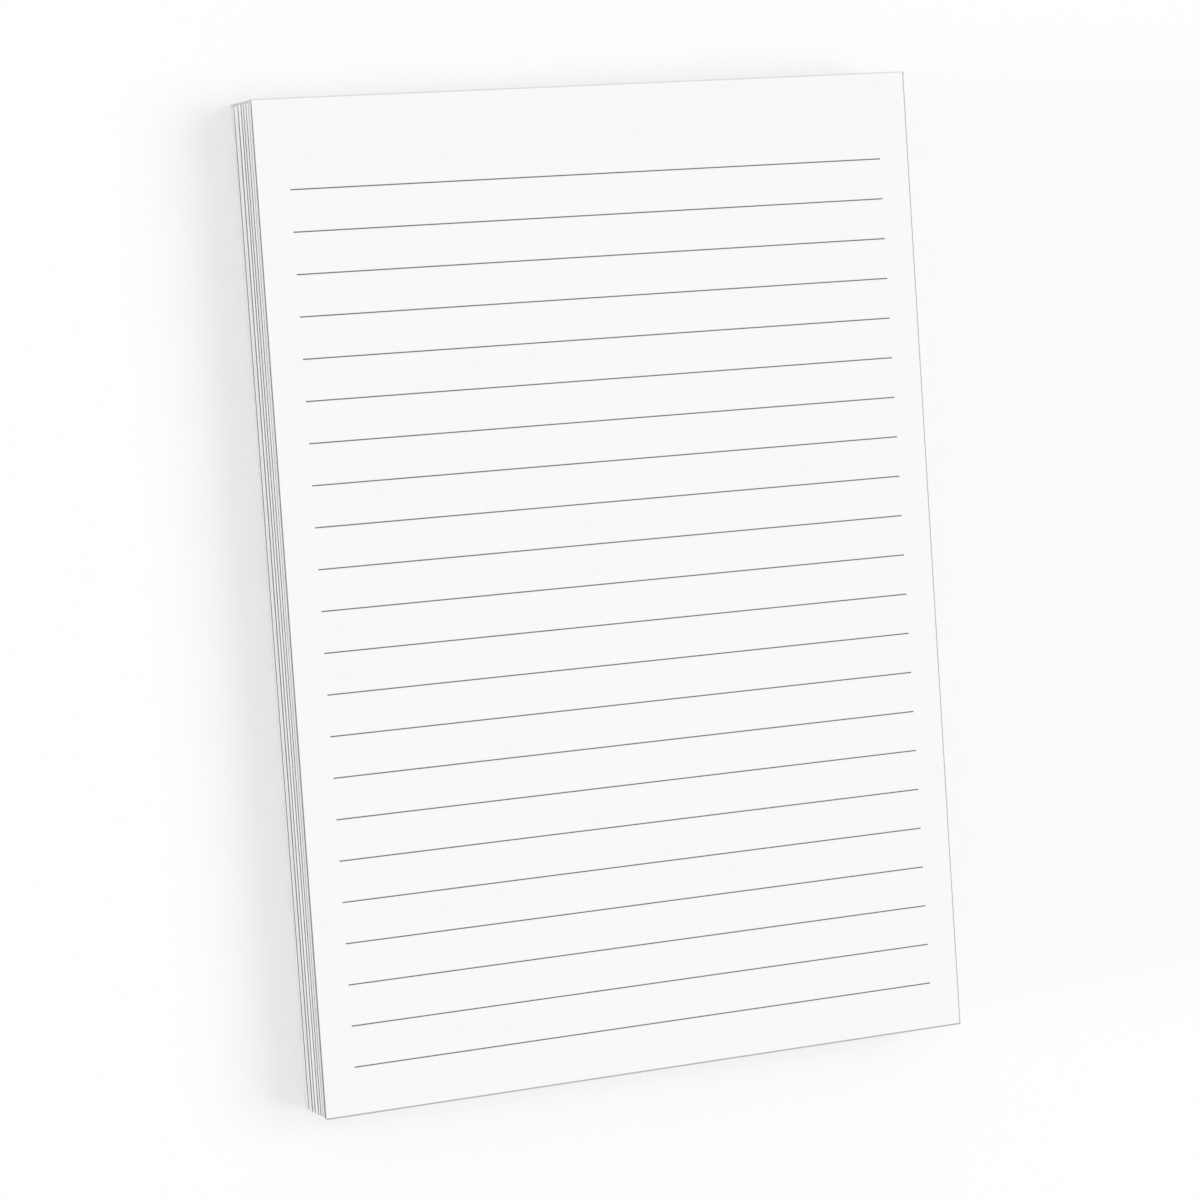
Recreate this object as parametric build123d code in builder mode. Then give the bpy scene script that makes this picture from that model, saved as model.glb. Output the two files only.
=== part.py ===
from build123d import *
from itertools import accumulate
from typing import NamedTuple
import os

# Notepad of ruled sheets, glued along the head, lying on its backing board.
# X runs across the sheet, Y towards the glued head and Z up through the stack.
# The origin is under the middle of the pad, on the surface that it lies on.
# All lengths are in millimetres.

# Sheets
SHEET_WIDTH = 148.0
SHEET_LENGTH = 210.0
SHEET_THICKNESS = 0.1

# Backing board
BOARD_THICKNESS = 1.0
BOARD_EDGE_RADIUS = 0.15

# Glue film brushed over the head of the stack
FILM_THICKNESS = 0.25
FILM_EDGE_RADIUS = 0.15

# Ruling, printed into the top sheet: as many rules as fit between the margins
RULE_PITCH = 8.64
RULE_WIDTH = 0.26
RULE_DEPTH = 0.03
RULE_SIDE_MARGIN = 6.9
RULE_HEAD_MARGIN = 18.4
RULE_LEAST_FOOT_MARGIN = 8.0
RULE_COUNT = 1 + int((SHEET_LENGTH - RULE_HEAD_MARGIN - RULE_LEAST_FOOT_MARGIN) // RULE_PITCH)


class Sheaf(NamedTuple):
    """Sheets that cling together and stand a little out of line with the rest of the stack."""

    sheets: int
    foot_lift: float  # how much higher the upper face lies at the foot than at the head
    shift: float  # to the right
    head_setback: float
    foot_setback: float


# From the board upwards. The top sheaf is the one that the others are set back from.
SHEAVES = [
    Sheaf(sheets=15, foot_lift=0.50, shift=0.00, head_setback=0.30, foot_setback=0.10),
    Sheaf(sheets=27, foot_lift=0.15, shift=-0.15, head_setback=0.40, foot_setback=0.00),
    Sheaf(sheets=21, foot_lift=-0.25, shift=0.10, head_setback=0.25, foot_setback=0.15),
    Sheaf(sheets=19, foot_lift=0.55, shift=-0.10, head_setback=0.45, foot_setback=0.05),
    Sheaf(sheets=17, foot_lift=0.25, shift=0.20, head_setback=0.30, foot_setback=0.20),
    Sheaf(sheets=16, foot_lift=0.05, shift=0.05, head_setback=0.40, foot_setback=0.35),
    Sheaf(sheets=17, foot_lift=-0.20, shift=0.20, head_setback=0.35, foot_setback=0.15),
    Sheaf(sheets=8, foot_lift=0.00, shift=-0.20, head_setback=0.00, foot_setback=0.00),
]
SHEAF_EDGE_CHAMFER = 0.2

# The sheets and the film together are centred on the origin.
FOOT_Y = -(SHEET_LENGTH + FILM_THICKNESS) / 2
HEAD_Y = FOOT_Y + SHEET_LENGTH
MIDDLE_Y = (FOOT_Y + HEAD_Y) / 2
DEEPEST_HEAD_SETBACK = max(sheaf.head_setback for sheaf in SHEAVES)

# Each face between sheaves, from the board's upwards: its height at mid length and its foot lift.
SHEETS_BELOW = list(accumulate((sheaf.sheets for sheaf in SHEAVES), initial=0))
FACE_HEIGHTS = [BOARD_THICKNESS + count * SHEET_THICKNESS for count in SHEETS_BELOW]
FACE_LIFTS = [0.0] + [sheaf.foot_lift for sheaf in SHEAVES]
TOP_Z = FACE_HEIGHTS[-1]


def face_height(face, y):
    """Height at y of one of the gently sloping faces between the sheaves."""
    return FACE_HEIGHTS[face] + FACE_LIFTS[face] * (MIDDLE_Y - y) / SHEET_LENGTH


def sheaf_slab(index):
    """One sheaf, drawn as its side view and extruded across the sheet."""
    sheaf = SHEAVES[index]
    foot = FOOT_Y + sheaf.foot_setback
    head = HEAD_Y - sheaf.head_setback
    is_top = index == len(SHEAVES) - 1
    with BuildPart() as slab:
        with BuildSketch(Plane.YZ.offset(sheaf.shift)):
            with BuildLine():
                Polyline(
                    (foot, face_height(index, foot)),
                    (head, face_height(index, head)),
                    (head, face_height(index + 1, head)),
                    (foot, face_height(index + 1, foot)),
                    close=True,
                )
            make_face()
        extrude(amount=SHEET_WIDTH / 2, both=True)
        # The sheaves part a little along their three loose edges, so each has those edges eased.
        # The sheets that show, at the top of the pad, keep their crisp upper edge.
        side_edges = slab.faces().filter_by(Axis.X).edges().filter_by(Axis.Y, tolerance=1)
        foot_edges = slab.faces().sort_by(Axis.Y)[0].edges().filter_by(Axis.X)
        loose_edges = side_edges + foot_edges
        if is_top:
            middle_z = slab.part.center().Z
            loose_edges = loose_edges.filter_by(lambda edge: edge.center().Z < middle_z)
        chamfer(loose_edges, length=SHEAF_EDGE_CHAMFER)
    return slab.part


def rule_sketch():
    """The ruled lines as narrow rectangles on the face of the top sheet."""
    middle_rule_y = HEAD_Y - RULE_HEAD_MARGIN - (RULE_COUNT - 1) * RULE_PITCH / 2
    with BuildSketch(Plane.XY.offset(TOP_Z)) as rules:
        with Locations((SHEAVES[-1].shift, middle_rule_y)):
            with GridLocations(0, RULE_PITCH, 1, RULE_COUNT):
                Rectangle(SHEET_WIDTH - 2 * RULE_SIDE_MARGIN, RULE_WIDTH)
    return rules.sketch


slabs = [sheaf_slab(index) for index in range(len(SHEAVES))]
ruling = rule_sketch()

# Sheets: the stacked sheaves, with a shallow groove where each rule is printed.
with BuildPart() as sheets:
    add(slabs)
    extrude(ruling, amount=-RULE_DEPTH, mode=Mode.SUBTRACT)

# Ruled lines: the ink that fills the grooves in the top sheet.
with BuildPart() as ruled_lines:
    extrude(ruling, amount=-RULE_DEPTH)

# Backing board: stiff card, trimmed with the sheets and a little rounded by the blade.
with BuildPart() as backing_board:
    with BuildSketch():
        with Locations((0, MIDDLE_Y)):
            Rectangle(SHEET_WIDTH, SHEET_LENGTH)
    extrude(amount=BOARD_THICKNESS)
    board_sides = backing_board.faces().filter_by(Axis.X).edges().filter_by(Axis.Y)
    board_foot = backing_board.faces().sort_by(Axis.Y)[0].edges().filter_by(Axis.X)
    fillet(board_sides + board_foot, radius=BOARD_EDGE_RADIUS)

# Binding glue: a film on the head that fills the steps between the sheaves.
with BuildPart() as binding_glue:
    with BuildSketch():
        with Locations((0, HEAD_Y - DEEPEST_HEAD_SETBACK)):
            Rectangle(
                SHEET_WIDTH,
                DEEPEST_HEAD_SETBACK + FILM_THICKNESS,
                align=(Align.CENTER, Align.MIN),
            )
    extrude(amount=TOP_Z)
    outer_face = binding_glue.faces().sort_by(Axis.Y)[-1]
    fillet(outer_face.edges(), radius=FILM_EDGE_RADIUS)
    add(sheets.part, mode=Mode.SUBTRACT)
    add(backing_board.part, mode=Mode.SUBTRACT)

PIECES = {
    "sheets": sheets,
    "ruled_lines": ruled_lines,
    "backing_board": backing_board,
    "binding_glue": binding_glue,
}
os.makedirs("parts", exist_ok=True)
for name, piece in PIECES.items():
    piece.part.label = name
    export_step(piece.part, f"parts/{name}.step")
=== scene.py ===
import math
from typing import NamedTuple

import bmesh
import bpy
from mathutils import Matrix, Vector


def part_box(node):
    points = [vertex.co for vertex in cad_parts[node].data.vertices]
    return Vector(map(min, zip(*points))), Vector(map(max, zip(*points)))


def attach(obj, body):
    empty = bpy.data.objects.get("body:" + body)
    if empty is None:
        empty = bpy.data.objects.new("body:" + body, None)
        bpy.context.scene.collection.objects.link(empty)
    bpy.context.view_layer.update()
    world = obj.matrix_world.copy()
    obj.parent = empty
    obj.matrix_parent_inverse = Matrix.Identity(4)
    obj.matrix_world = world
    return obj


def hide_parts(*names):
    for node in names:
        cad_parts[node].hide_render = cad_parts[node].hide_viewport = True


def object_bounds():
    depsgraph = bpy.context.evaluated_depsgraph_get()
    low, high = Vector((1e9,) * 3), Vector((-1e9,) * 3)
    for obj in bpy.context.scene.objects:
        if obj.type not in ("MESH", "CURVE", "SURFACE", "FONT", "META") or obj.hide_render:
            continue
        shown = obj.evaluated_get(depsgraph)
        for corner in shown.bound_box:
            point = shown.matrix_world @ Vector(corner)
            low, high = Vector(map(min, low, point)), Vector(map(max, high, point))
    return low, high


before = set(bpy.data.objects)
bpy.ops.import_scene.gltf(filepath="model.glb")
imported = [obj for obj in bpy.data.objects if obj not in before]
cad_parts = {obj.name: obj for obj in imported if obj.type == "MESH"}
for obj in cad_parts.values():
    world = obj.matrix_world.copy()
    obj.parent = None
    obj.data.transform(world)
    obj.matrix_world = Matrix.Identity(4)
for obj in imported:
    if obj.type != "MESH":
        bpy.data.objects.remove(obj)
CAD_LOW, CAD_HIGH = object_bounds()

# A ruled notepad lies on its backing board, seen from above and from its left side.
# X runs across the sheet, Y towards the glued head and Z up. Lengths are in metres, and the
# paper's own are written in millimetres times MM.
MM = 0.001

# Sheets, as in the pad's solid
SHEET_WIDTH = 148.0 * MM
SHEET_LENGTH = 210.0 * MM
SHEET_THICKNESS = 0.1 * MM
FOOT_Y = CAD_LOW.y
HEAD_Y = FOOT_Y + SHEET_LENGTH
STACK_LOW_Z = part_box("sheets")[0].z
INK_RELIEF = 0.012 * MM
PAGE_Z = CAD_HIGH.z - INK_RELIEF

# How a sheaf's cut edges are drawn
JOG = 0.025 * MM
GROOVE_DEPTH = 0.07 * MM
AIR_SHARE = 0.14
GAP_REACH = 5.0 * MM
GLUE_HOLD = 3.0 * MM
RIPPLE = 0.006 * MM
RIPPLE_LENGTH = 60.0 * MM
RIPPLE_CHANGE = 0.37  # from one sheet to the next
JOG_POWER = 3  # the higher, the fewer sheets stand back far
GLUED_GAP_SHARE = 0.5  # how much of its opening a gap keeps at the glued head
SIDE_STATIONS = 30
FOOT_STATIONS = 22
RINGS_A_SHEET = 3
FACE_RINGS = 4  # two on each face
MERGE_DISTANCE = 0.0005 * MM
RIPPLE_FADES = 0.999  # the share of the sheaf's height from which the ripple fades
RIPPLE_ENDS = 0.9999
CUT_EDGE_RISE = 0.5  # a face whose normal rises less than this is a cut edge


class Sheaf(NamedTuple):
    """Sheets that cling together. Lengths are in millimetres."""

    sheets: int
    foot_lift: float  # how much higher the upper face lies at the foot than at the head
    shift: float  # of the highest sheet, to the right
    head_setback: float
    foot_setback: float
    gap: float  # opening under the sheaf along its loose edges
    draw: float  # how far the blade has drawn the lowest sheet to the right of the highest
    # The tone below is painted shade on the cut edges, darkest on the top sheaf for the line of shade
    # beside the page
    tone: float  # how light the cut edges are


# From the board upwards. They stand more nearly in line here than in the pad's solid.
SHEAVES = [
    Sheaf(15, 0.50, -0.15, 0.30, 0.05, gap=0.12, draw=0.05, tone=0.97),
    Sheaf(27, 0.15, -0.18, 0.40, 0.00, gap=0.32, draw=0.10, tone=1.00),
    Sheaf(21, -0.25, -0.18, 0.25, 0.04, gap=0.38, draw=0.13, tone=1.00),
    Sheaf(19, 0.55, -0.19, 0.45, 0.00, gap=0.34, draw=0.11, tone=0.96),
    Sheaf(17, 0.25, -0.18, 0.30, 0.10, gap=0.31, draw=0.08, tone=0.98),
    Sheaf(16, 0.05, -0.18, 0.40, 0.16, gap=0.30, draw=0.10, tone=0.98),
    Sheaf(17, -0.20, -0.18, 0.35, 0.12, gap=0.12, draw=0.05, tone=0.96),
    # The top sheaf's low tone paints the shade under the page's edge
    Sheaf(8, 0.00, -0.20, 0.00, 0.00, gap=0.40, draw=0.12, tone=0.48),
]

# The view from which the photograph sees the page. The lens is in millimetres, and what it
# sees lies between the last two distances, in metres.
CAMERA_PLACE = Vector((-298.4, 58.0, 738.0)) * MM
CAMERA_AIM = Vector((-5.5, -3.2, 15.0)) * MM
CAMERA_LEAN = 0.0726
FOCAL_LENGTH = 110.84
SENSOR_WIDTH = 36.0
NEAREST_SEEN = 0.01
FARTHEST_SEEN = 20.0

# Light: a broad soft key from the right, a low fill from the left, and a plain white room
KEY_ELEVATION = math.radians(52)
KEY_TURN = math.radians(2)
KEY_STRENGTH = 1.11
KEY_SPREAD = math.radians(46)
FILL_ELEVATION = math.radians(5.5)
FILL_STRENGTH = 1.22
FILL_SPREAD = math.radians(11)
ROOM_STRENGTH = 0.68
FLOOR_COLOUR = 0.70
FLOOR_SIZE = 6.0
FLOOR_DROP = 0.02 * MM


class Sum:
    """A number in a node tree, so that what is worked out from it reads as plain arithmetic."""

    def __init__(self, tree, socket):
        self.tree = tree
        self.socket = socket

    def calc(self, operation, *others):
        node = self.tree.nodes.new("ShaderNodeMath")
        node.operation = operation
        for place, value in enumerate((self, *others)):
            feed(self.tree, node.inputs[place], value)
        return Sum(self.tree, node.outputs[0])

    def __add__(self, other):
        return self.calc("ADD", other)

    def __sub__(self, other):
        return self.calc("SUBTRACT", other)

    def __mul__(self, other):
        return self.calc("MULTIPLY", other)

    def __truediv__(self, other):
        return self.calc("DIVIDE", other)

    def floor(self):
        return self.calc("FLOOR")

    def least(self, other):
        return self.calc("MINIMUM", other)

    def above(self, other):
        return self.calc("GREATER_THAN", other)

    def below(self, other):
        return self.calc("LESS_THAN", other)

    def size(self):
        return self.calc("ABSOLUTE")

    def ramp(self, start, end, low=0.0, high=1.0, smooth=False):
        """Goes from low to high as this number goes from start to end, and stays there."""
        node = self.tree.nodes.new("ShaderNodeMapRange")
        node.interpolation_type = "SMOOTHSTEP" if smooth else "LINEAR"
        for place, value in enumerate((self, start, end, low, high)):
            feed(self.tree, node.inputs[place], value)
        return Sum(self.tree, node.outputs[0])


def feed(tree, socket, value):
    """Links a number, a socket or a plain value to a node's input."""
    if isinstance(value, Sum):
        value = value.socket
    if isinstance(value, bpy.types.NodeSocket):
        tree.links.new(value, socket)
    else:
        socket.default_value = value


def add_node(tree, kind, inputs=None, **settings):
    """A node with its settings, and its inputs by name or number."""
    node = tree.nodes.new(kind)
    for name, value in settings.items():
        setattr(node, name, value)
    for name, value in (inputs or {}).items():
        feed(tree, node.inputs[name], value)
    return node


def sheaf_tree():
    """A sheaf as a closed solid: rings of points, three for each sheet, rise between two faces.

    A ring runs from the head down the left side, along the foot, up the right side and back.
    Each sheet has a ring at its lower edge, one at its upper edge and one in the groove above it.
    """
    tree = bpy.data.node_groups.new("sheaf_of_sheets", "GeometryNodeTree")
    tree.is_modifier = True
    floats = "Width Length Middle Shift Draw Low High LowLift HighLift GapBelow GapAbove Reach Hold"
    floats += " Jog Groove Air Ripple RippleLength Tone"
    for name in floats.split():
        tree.interface.new_socket(name, in_out="INPUT", socket_type="NodeSocketFloat")
    for name in "Sheets Seed SideStations FootStations".split():
        tree.interface.new_socket(name, in_out="INPUT", socket_type="NodeSocketInt")
    for name in ("Face", "CutEdge"):
        tree.interface.new_socket(name, in_out="INPUT", socket_type="NodeSocketMaterial")
    tree.interface.new_socket("Sheaf", in_out="OUTPUT", socket_type="NodeSocketGeometry")
    given = tree.nodes.new("NodeGroupInput")
    size = {socket.name: Sum(tree, socket) for socket in given.outputs if socket.name}

    stations = (size["SideStations"] + size["FootStations"]) * 2
    # One ring fewer, because the uppermost sheet has no groove above it
    rings = size["Sheets"] * RINGS_A_SHEET + FACE_RINGS - 1
    grid = add_node(tree, "GeometryNodeMeshGrid", {
        "Size X": 1.0, "Size Y": 1.0, "Vertices X": stations + 1, "Vertices Y": rings,
    })
    position = tree.nodes.new("GeometryNodeInputPosition").outputs[0]
    place = add_node(tree, "ShaderNodeSeparateXYZ", {0: position})
    station = ((Sum(tree, place.outputs["X"]) + 0.5) * stations).calc("ROUND")
    ring = ((Sum(tree, place.outputs["Y"]) + 0.5) * (rings - 1)).calc("ROUND")

    # Where the ring's station lies on the rectangle, from -1 to 1 each way
    foot_start = size["SideStations"]
    right_start = foot_start + size["FootStations"]
    head_start = right_start + size["SideStations"]
    across = station.ramp(foot_start, right_start, -1, 1) - station.ramp(head_start, stations, 0, 2)
    along = station.ramp(0, foot_start, 1, -1) + station.ramp(right_start, head_start, 0, 2)
    towards_foot = along * -0.5

    # The first and last rings are the faces' poles, and the ones next to them lie inside the faces
    is_upper = ring.above(rings - 2.5)
    is_pole = ring.below(0.5) + ring.above(rings - 1.5)
    on_rim = ring.above(1.5) * ring.below(rings - 2.5)
    on_face = (on_rim + is_pole) * -1 + 1

    # Which sheet the ring belongs to, and how high it lies in the sheaf
    count = ring - 2
    sheet = (count / RINGS_A_SHEET).floor()
    phase = count - sheet * RINGS_A_SHEET
    rise = (size["Air"] + phase * (size["Air"] * -1 + 1)).least(size["Air"] * 0.5 + 1)
    share = (sheet + rise) / size["Sheets"] * on_rim + is_upper

    # How far the ring lies inside the sheet's outline
    inset = (phase - 1).ramp(0, 1) * on_rim * size["Groove"] + on_face * size["Reach"]
    half_width = (size["Width"] * 0.5 - inset) * (is_pole * -1 + 1)
    half_length = (size["Length"] * 0.5 - inset) * (is_pole * -1 + 1)

    # A few sheets stand back on the left and at the foot, and the blade has drawn the lower ones
    jog = add_node(tree, "FunctionNodeRandomValue", {
        "Min": (0.0, 0.0, 0.0), "Max": (1.0, 1.0, 0.0), "ID": sheet, "Seed": size["Seed"],
    }, data_type="FLOAT_VECTOR")
    jog_parts = add_node(tree, "ShaderNodeSeparateXYZ", {0: jog.outputs[0]})
    drawn = size["Draw"] * ((sheet + 1) / size["Sheets"] * -1 + 1)
    is_below_top = (sheet + 1).below(size["Sheets"] - 0.5) * on_rim
    jog_x = Sum(tree, jog_parts.outputs["X"]).calc("POWER", JOG_POWER) * size["Jog"] * is_below_top
    jog_y = Sum(tree, jog_parts.outputs["Y"]).calc("POWER", JOG_POWER) * size["Jog"] * is_below_top
    x = across * half_width + size["Shift"] + jog_x + drawn * on_rim
    y = along * half_length + size["Middle"] + jog_y * (towards_foot + 0.5)

    # Height. The gaps above and below the sheaf narrow at the glued head
    from_head = (towards_foot + 0.5) * size["Length"]
    loose = from_head.ramp(0, size["Hold"], GLUED_GAP_SHARE, 1, smooth=True) * on_rim
    low = size["Low"] + size["LowLift"] * towards_foot + size["GapBelow"] * loose
    high = size["High"] + size["HighLift"] * towards_foot - size["GapAbove"] * loose
    spot = add_node(tree, "ShaderNodeCombineXYZ", {"X": x, "Y": y, "Z": 0.0})
    ripple = add_node(tree, "ShaderNodeTexNoise", {
        "Vector": spot.outputs[0], "W": sheet * RIPPLE_CHANGE + size["Seed"],
        "Scale": size["RippleLength"].calc("POWER", -1), "Detail": 1.0,
    }, noise_dimensions="4D")
    inside = share.ramp(RIPPLE_FADES, RIPPLE_ENDS, 1, 0)
    wave = (Sum(tree, ripple.outputs[0]) - 0.5) * size["Ripple"] * 2 * loose * inside
    z = low + (high - low) * share + wave

    placed = add_node(tree, "ShaderNodeCombineXYZ", {"X": x, "Y": y, "Z": z})
    moved = add_node(tree, "GeometryNodeSetPosition", {
        "Geometry": grid.outputs[0], "Position": placed.outputs[0],
    })
    closed = add_node(tree, "GeometryNodeMergeByDistance", {
        "Geometry": moved.outputs[0], "Distance": MERGE_DISTANCE,
    })
    toned = add_node(tree, "GeometryNodeStoreNamedAttribute", {
        "Geometry": closed.outputs[0], "Name": "tone", "Value": size["Tone"],
    }, data_type="FLOAT", domain="POINT")
    realized = add_node(tree, "GeometryNodeRealizeInstances", {"Geometry": toned.outputs[0]})
    direction = tree.nodes.new("GeometryNodeInputNormal").outputs[0]
    normal = add_node(tree, "ShaderNodeSeparateXYZ", {0: direction})
    on_side = Sum(tree, normal.outputs["Z"]).size().below(CUT_EDGE_RISE)
    faced = add_node(tree, "GeometryNodeSetMaterial", {
        "Geometry": realized.outputs[0], "Material": size["Face"],
    })
    edged = add_node(tree, "GeometryNodeSetMaterial", {
        "Geometry": faced.outputs[0], "Selection": on_side, "Material": size["CutEdge"],
    })
    result = tree.nodes.new("NodeGroupOutput")
    tree.links.new(edged.outputs[0], result.inputs["Sheaf"])
    return tree


def evaluated_mesh(tree, values):
    """The mesh that a tree makes with these values, free of its modifier."""
    holder = bpy.data.objects.new("holder", bpy.data.meshes.new("holder"))
    bpy.context.scene.collection.objects.link(holder)
    modifier = holder.modifiers.new("nodes", "NODES")
    modifier.node_group = tree
    inputs = [item for item in tree.interface.items_tree if item.in_out == "INPUT"]
    sockets = {item.name: item.identifier for item in inputs}
    for name, value in values.items():
        modifier[sockets[name]] = value
    evaluated = holder.evaluated_get(bpy.context.evaluated_depsgraph_get())
    mesh = bpy.data.meshes.new_from_object(evaluated)
    bpy.data.objects.remove(holder)
    return mesh


def make_stack(face, cut_edge):
    """All the pad's sheets, sheaf by sheaf from the board upwards. The top one is the ruled page."""
    tree = sheaf_tree()
    stack = bmesh.new()
    low_z = STACK_LOW_Z
    low_lift = 0.0
    for number, sheaf in enumerate(SHEAVES):
        is_top = sheaf is SHEAVES[-1]
        high_z = PAGE_Z if is_top else low_z + sheaf.sheets * SHEET_THICKNESS
        head = HEAD_Y - sheaf.head_setback * MM
        foot = FOOT_Y + sheaf.foot_setback * MM
        # A gap between two sheaves opens half into each, and the one on the stiff board into the sheaf
        gap_below = sheaf.gap * MM / 2 if number else sheaf.gap * MM
        gap_above = 0.0 if is_top else SHEAVES[number + 1].gap * MM / 2
        mesh = evaluated_mesh(tree, {
            "Width": SHEET_WIDTH, "Length": head - foot, "Middle": (head + foot) / 2,
            "Shift": sheaf.shift * MM, "Draw": sheaf.draw * MM, "Jog": JOG,
            "Low": low_z, "High": high_z, "LowLift": low_lift, "HighLift": sheaf.foot_lift * MM,
            "GapBelow": gap_below, "GapAbove": gap_above, "Reach": GAP_REACH, "Hold": GLUE_HOLD,
            "Groove": GROOVE_DEPTH, "Air": AIR_SHARE, "Tone": sheaf.tone,
            "Ripple": RIPPLE, "RippleLength": RIPPLE_LENGTH,
            "Sheets": sheaf.sheets, "Seed": number,
            "SideStations": SIDE_STATIONS, "FootStations": FOOT_STATIONS,
            "Face": face, "CutEdge": cut_edge,
        })
        stack.from_mesh(mesh)
        materials = list(mesh.materials)
        bpy.data.meshes.remove(mesh)
        low_z = high_z
        low_lift = sheaf.foot_lift * MM
    bmesh.ops.recalc_face_normals(stack, faces=stack.faces)
    joined = bpy.data.meshes.new("paper_stack")
    stack.to_mesh(joined)
    stack.free()
    for material in materials:
        joined.materials.append(material)
    piece = bpy.data.objects.new("paper_stack", joined)
    bpy.context.scene.collection.objects.link(piece)
    return piece


def new_material(name):
    """A material with its tree, its main shader and the piece's own coordinates."""
    material = bpy.data.materials.new(name)
    material.use_nodes = True
    tree = material.node_tree
    shader = tree.nodes["Principled BSDF"]
    coordinates = tree.nodes.new("ShaderNodeTexCoord").outputs["Object"]
    return material, tree, shader, coordinates


def stretched(tree, coordinates, scale):
    """The coordinates multiplied by a scale for each axis, in turns for each metre."""
    mapping = add_node(tree, "ShaderNodeMapping", {"Vector": coordinates, "Scale": scale})
    return mapping.outputs[0]


def noise(tree, vector, scale=1.0, detail=2.0, roughness=0.5):
    """Soft noise from 0 to 1."""
    node = add_node(tree, "ShaderNodeTexNoise", {
        "Vector": vector, "Scale": scale, "Detail": detail, "Roughness": roughness,
    })
    return Sum(tree, node.outputs[0])


def tone(tree, number, dark, light):
    """A colour between two others, by a number from 0 to 1."""
    mix = add_node(tree, "ShaderNodeMix", data_type="RGBA")
    feed(tree, mix.inputs[0], number)
    mix.inputs[6].default_value = (*dark, 1.0)
    mix.inputs[7].default_value = (*light, 1.0)
    return mix.outputs[2]


def overlay(tree, share, under, over):
    """A plain colour laid over another, by a share from 0 to 1."""
    mix = add_node(tree, "ShaderNodeMix", data_type="RGBA")
    feed(tree, mix.inputs[0], share)
    feed(tree, mix.inputs[6], under)
    mix.inputs[7].default_value = (*over, 1.0)
    return mix.outputs[2]


def relief(tree, shader, height, distance, strength=1.0):
    """A fine relief on the shader, distance high."""
    bump = add_node(tree, "ShaderNodeBump", {
        "Height": height, "Distance": distance, "Strength": strength,
    })
    tree.links.new(bump.outputs[0], shader.inputs["Normal"])


PAPER_WHITE = (0.955, 0.956, 0.958)
PAPER_SHADE = (0.932, 0.934, 0.937)
# Painted shade, darkening the paper inside the stack where the gaps between sheaves are
CREVICE_PAINTED_SHADE = (0.50, 0.50, 0.50)
# Painted shade in a thin line along the page's right and foot edges
RIM_PAINTED_SHADE = (0.45, 0.45, 0.45)
EDGE_LIGHT = (0.95, 0.95, 0.95)
EDGE_DARK = (0.86, 0.86, 0.86)
INK_GREY = (0.150, 0.150, 0.151)
INK_THIN = (0.185, 0.185, 0.186)
CARD_LIGHT = (0.82, 0.82, 0.82)
CARD_DARK = (0.70, 0.70, 0.695)
GLUE_LIGHT = (0.88, 0.88, 0.88)
GLUE_DARK = (0.79, 0.79, 0.79)
# Painted shade along the glue film's cut ends and top edge
GLUE_EDGE_SHADE = (0.50, 0.50, 0.50)
GLUE_RIM_SHADE_SHARE = 0.45
SIDE_RIM = 0.25 * MM
FOOT_RIM = 0.34 * MM
RIM_BLUR = 0.06 * MM
EDGE_SHADE_WIDTH = 0.1 * MM
CREVICE_DEPTH = 0.1 * MM

# The values of noise between which a colour or a roughness runs from one end to the other
NOISE_RANGE = (0.3, 0.7)
EDGE_RANGE = (0.32, 0.68)
INK_RANGE = (0.35, 0.7)
CARD_RANGE = (0.36, 0.62)

# Grain, in turns for each metre, and how high each relief stands
PAPER_CLOUD = 260.0
PAPER_FIBRES = (1600.0, 5200.0, 1600.0)
PAPER_TOOTH = 0.004 * MM
SHEET_SHADES = (6.0, 6.0, 9000.0)
BLADE_NICKS = (900.0, 900.0, 2500.0)
NICK_HEIGHT = 0.01 * MM
INK_COVER = 2500.0
CARD_CLOUD = 180.0
CARD_FLECKS = (700.0, 1500.0, 700.0)
FLECK_HEIGHT = 0.012 * MM
GLUE_BRUSH = (40.0, 900.0, 1400.0)
GLUE_SHEETS = (15.0, 900.0, 7000.0)
BRUSH_HEIGHT = 0.03 * MM


def paper_material():
    """Uncoated white paper: cloudy formation, fine tooth, a painted line of shade along the right and
    foot edges, and painted shade in the crevices below the page.
    """
    material, tree, shader, coordinates = new_material("paper")
    cloud = noise(tree, coordinates, scale=PAPER_CLOUD, detail=4.0)
    grain = stretched(tree, coordinates, PAPER_FIBRES)
    fibres = noise(tree, grain, detail=5.0, roughness=0.65)
    body = tone(tree, (cloud * 0.7 + fibres * 0.3).ramp(*NOISE_RANGE), PAPER_SHADE, PAPER_WHITE)
    place = add_node(tree, "ShaderNodeSeparateXYZ", {0: coordinates})
    right_edge = SHEET_WIDTH / 2 + SHEAVES[-1].shift * MM
    from_right = Sum(tree, place.outputs["X"]) * -1 + right_edge
    from_foot = Sum(tree, place.outputs["Y"]) - FOOT_Y
    depth = Sum(tree, place.outputs["Z"]) * -1 + PAGE_Z
    # Painted shade: a thin grey line along the page's right edge and its foot
    painted_rim_shade = from_right.ramp(SIDE_RIM - RIM_BLUR, SIDE_RIM, 1, 0, smooth=True)
    painted_rim_shade = painted_rim_shade.calc("MAXIMUM", from_foot.ramp(FOOT_RIM - RIM_BLUR, FOOT_RIM, 1, 0, smooth=True))
    rim_shaded = overlay(tree, painted_rim_shade, body, RIM_PAINTED_SHADE)
    # Painted shade: paper lying deeper than the page, in the gaps between sheaves, turns grey
    shaded = overlay(tree, depth.ramp(0, CREVICE_DEPTH), rim_shaded, CREVICE_PAINTED_SHADE)
    tree.links.new(shaded, shader.inputs["Base Color"])
    feed(tree, shader.inputs["Roughness"], fibres.ramp(*NOISE_RANGE, 0.78, 0.9))
    shader.inputs["Specular IOR Level"].default_value = 0.3
    relief(tree, shader, fibres, PAPER_TOOTH, 0.5)
    return material


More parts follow.
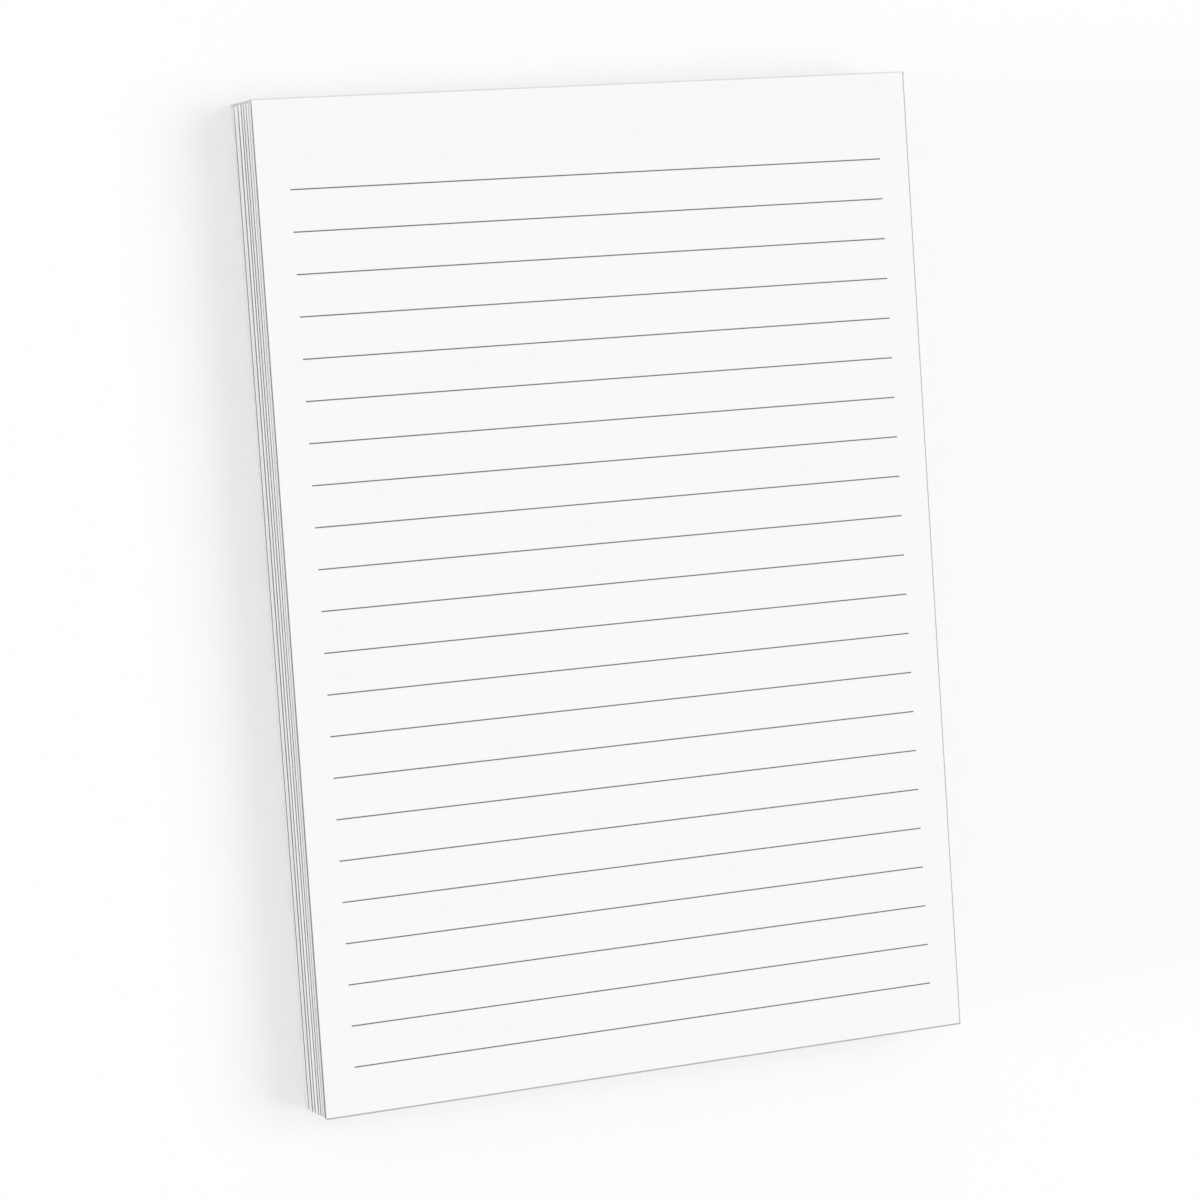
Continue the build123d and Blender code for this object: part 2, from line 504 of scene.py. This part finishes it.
def cut_edge_material():
    """The cut edges of the sheets, each a shade of its own, streaked by the blade, and darkened by each
    sheaf's tone, which is painted shade.
    """
    material, tree, shader, coordinates = new_material("cut_edge")
    sheets = noise(tree, stretched(tree, coordinates, SHEET_SHADES), detail=2.0)
    nicks = noise(tree, stretched(tree, coordinates, BLADE_NICKS), detail=4.0, roughness=0.6)
    colour = tone(tree, (sheets * 0.8 + nicks * 0.2).ramp(*EDGE_RANGE), EDGE_DARK, EDGE_LIGHT)
    # Painted shade: each sheaf's tone darkens its cut edges, the top sheaf's most
    sheaf_shade = add_node(tree, "ShaderNodeAttribute", attribute_name="tone")
    sheaf_shaded = add_node(tree, "ShaderNodeVectorMath", {0: colour}, operation="SCALE")
    feed(tree, sheaf_shaded.inputs["Scale"], sheaf_shade.outputs["Fac"])
    tree.links.new(sheaf_shaded.outputs[0], shader.inputs["Base Color"])
    feed(tree, shader.inputs["Roughness"], nicks.ramp(*NOISE_RANGE, 0.82, 0.95))
    shader.inputs["Specular IOR Level"].default_value = 0.2
    relief(tree, shader, nicks, NICK_HEIGHT, 0.6)
    return material


def ink_material():
    """Grey printing ink that lies a little unevenly on the paper's tooth."""
    material, tree, shader, coordinates = new_material("ink")
    cover = noise(tree, coordinates, scale=INK_COVER, detail=3.0)
    feed(tree, shader.inputs["Base Color"], tone(tree, cover.ramp(*INK_RANGE), INK_GREY, INK_THIN))
    feed(tree, shader.inputs["Roughness"], cover.ramp(*NOISE_RANGE, 0.55, 0.75))
    shader.inputs["Specular IOR Level"].default_value = 0.25
    return material


def card_material():
    """White-lined card with faint grey flecks of recycled fibre."""
    material, tree, shader, coordinates = new_material("card")
    cloud = noise(tree, coordinates, scale=CARD_CLOUD, detail=5.0, roughness=0.6)
    flecks = noise(tree, stretched(tree, coordinates, CARD_FLECKS), detail=3.0, roughness=0.7)
    shade = cloud * 0.45 + flecks * 0.55
    feed(tree, shader.inputs["Base Color"], tone(tree, shade.ramp(*CARD_RANGE), CARD_DARK, CARD_LIGHT))
    feed(tree, shader.inputs["Roughness"], flecks.ramp(*NOISE_RANGE, 0.7, 0.9))
    shader.inputs["Specular IOR Level"].default_value = 0.3
    relief(tree, shader, flecks, FLECK_HEIGHT, 0.5)
    return material


def glue_material():
    """Dried padding glue: soft gloss, brush streaks along the head, sheets faintly showing through, and
    painted shade in a grey line along its cut ends and top edge.
    """
    material, tree, shader, coordinates = new_material("glue")
    brush = noise(tree, stretched(tree, coordinates, GLUE_BRUSH), detail=4.0, roughness=0.6)
    sheets = noise(tree, stretched(tree, coordinates, GLUE_SHEETS), detail=1.0)
    film = tone(tree, (brush * 0.6 + sheets * 0.4).ramp(*NOISE_RANGE), GLUE_DARK, GLUE_LIGHT)
    place = add_node(tree, "ShaderNodeSeparateXYZ", {0: coordinates})
    from_middle = Sum(tree, place.outputs["X"]).size()
    depth = Sum(tree, place.outputs["Z"]) * -1 + CAD_HIGH.z
    # Painted shade: a grey line along the film's cut ends and its top edge
    film_edge_shade = from_middle.ramp(SHEET_WIDTH / 2 - EDGE_SHADE_WIDTH, SHEET_WIDTH / 2)
    film_edge_shade = film_edge_shade.calc("MAXIMUM", depth.ramp(0, EDGE_SHADE_WIDTH, GLUE_RIM_SHADE_SHARE, 0))
    tree.links.new(overlay(tree, film_edge_shade, film, GLUE_EDGE_SHADE), shader.inputs["Base Color"])
    feed(tree, shader.inputs["Roughness"], brush.ramp(*NOISE_RANGE, 0.34, 0.5))
    shader.inputs["Specular IOR Level"].default_value = 0.45
    relief(tree, shader, brush * 0.7 + sheets * 0.3, BRUSH_HEIGHT, 0.6)
    return material


def seen_directly(tree):
    """1 for what the camera sees, straight or by a reflection, and 0 for what lights the pad."""
    path = tree.nodes.new("ShaderNodeLightPath")
    seen = Sum(tree, path.outputs["Is Camera Ray"])
    seen = seen.calc("MAXIMUM", path.outputs["Is Glossy Ray"])
    return seen.calc("MAXIMUM", path.outputs["Is Transmission Ray"])


def make_floor():
    """A pale floor that looks white and keeps the pad's shadow."""
    mesh = bpy.data.meshes.new("floor")
    half = FLOOR_SIZE / 2
    corners = [(-half, -half), (half, -half), (half, half), (-half, half)]
    mesh.from_pydata([(x, y, -FLOOR_DROP) for x, y in corners], [], [(0, 1, 2, 3)])
    floor = bpy.data.objects.new("floor", mesh)
    bpy.context.scene.collection.objects.link(floor)
    material = bpy.data.materials.new("floor")
    material.use_nodes = True
    tree = material.node_tree
    tree.nodes.remove(tree.nodes["Principled BSDF"])
    matt = add_node(tree, "ShaderNodeBsdfDiffuse", {"Color": (FLOOR_COLOUR,) * 3 + (1.0,)})
    lift = add_node(tree, "ShaderNodeEmission", {"Strength": seen_directly(tree) * (1.0 - FLOOR_COLOUR)})
    both = add_node(tree, "ShaderNodeAddShader", {0: matt.outputs[0], 1: lift.outputs[0]})
    tree.links.new(both.outputs[0], tree.nodes["Material Output"].inputs["Surface"])
    mesh.materials.append(material)


def make_sun(name, elevation, turn, strength, spread):
    """A lamp that shines from the right, or from the left if turn is half a circle, at an elevation."""
    lamp = bpy.data.lights.new(name, "SUN")
    lamp.energy = strength
    lamp.angle = spread
    sun = bpy.data.objects.new(name, lamp)
    level = math.cos(elevation)
    source = Vector((level * math.cos(turn), level * math.sin(turn), math.sin(elevation)))
    sun.rotation_euler = source.to_track_quat("Z", "Y").to_euler()
    bpy.context.scene.collection.objects.link(sun)


def make_room():
    """An even white room, seen as plain white behind the pad."""
    world = bpy.data.worlds.new("room")
    world.use_nodes = True
    tree = world.node_tree
    background = tree.nodes["Background"]
    background.inputs["Color"].default_value = (1.0, 1.0, 1.0, 1.0)
    feed(tree, background.inputs["Strength"], seen_directly(tree).ramp(0, 1, ROOM_STRENGTH, 1.0))
    bpy.context.scene.world = world


def make_camera():
    """The camera at the photograph's viewing angle on the page."""
    lens = bpy.data.cameras.new("camera")
    lens.lens = FOCAL_LENGTH
    lens.sensor_width = SENSOR_WIDTH
    lens.clip_start = NEAREST_SEEN
    lens.clip_end = FARTHEST_SEEN
    camera = bpy.data.objects.new("camera", lens)
    back = (CAMERA_PLACE - CAMERA_AIM).normalized()
    right = Vector((CAMERA_LEAN, 1.0, 0.0)).cross(back).normalized()
    up = back.cross(right)
    turned = Matrix((right, up, back)).transposed().to_4x4()
    camera.matrix_world = Matrix.Translation(CAMERA_PLACE) @ turned
    bpy.context.scene.collection.objects.link(camera)
    bpy.context.scene.camera = camera


make_camera()
make_floor()
make_sun("key", KEY_ELEVATION, KEY_TURN, KEY_STRENGTH, KEY_SPREAD)
make_sun("fill", FILL_ELEVATION, math.pi, FILL_STRENGTH, FILL_SPREAD)
make_room()
bpy.context.scene.view_settings.view_transform = "Standard"

# The pad's own pieces
paper_stack = make_stack(paper_material(), cut_edge_material())
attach(paper_stack, "root")
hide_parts("sheets")
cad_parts["ruled_lines"].material_slots[0].material = ink_material()
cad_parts["backing_board"].material_slots[0].material = card_material()
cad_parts["binding_glue"].material_slots[0].material = glue_material()
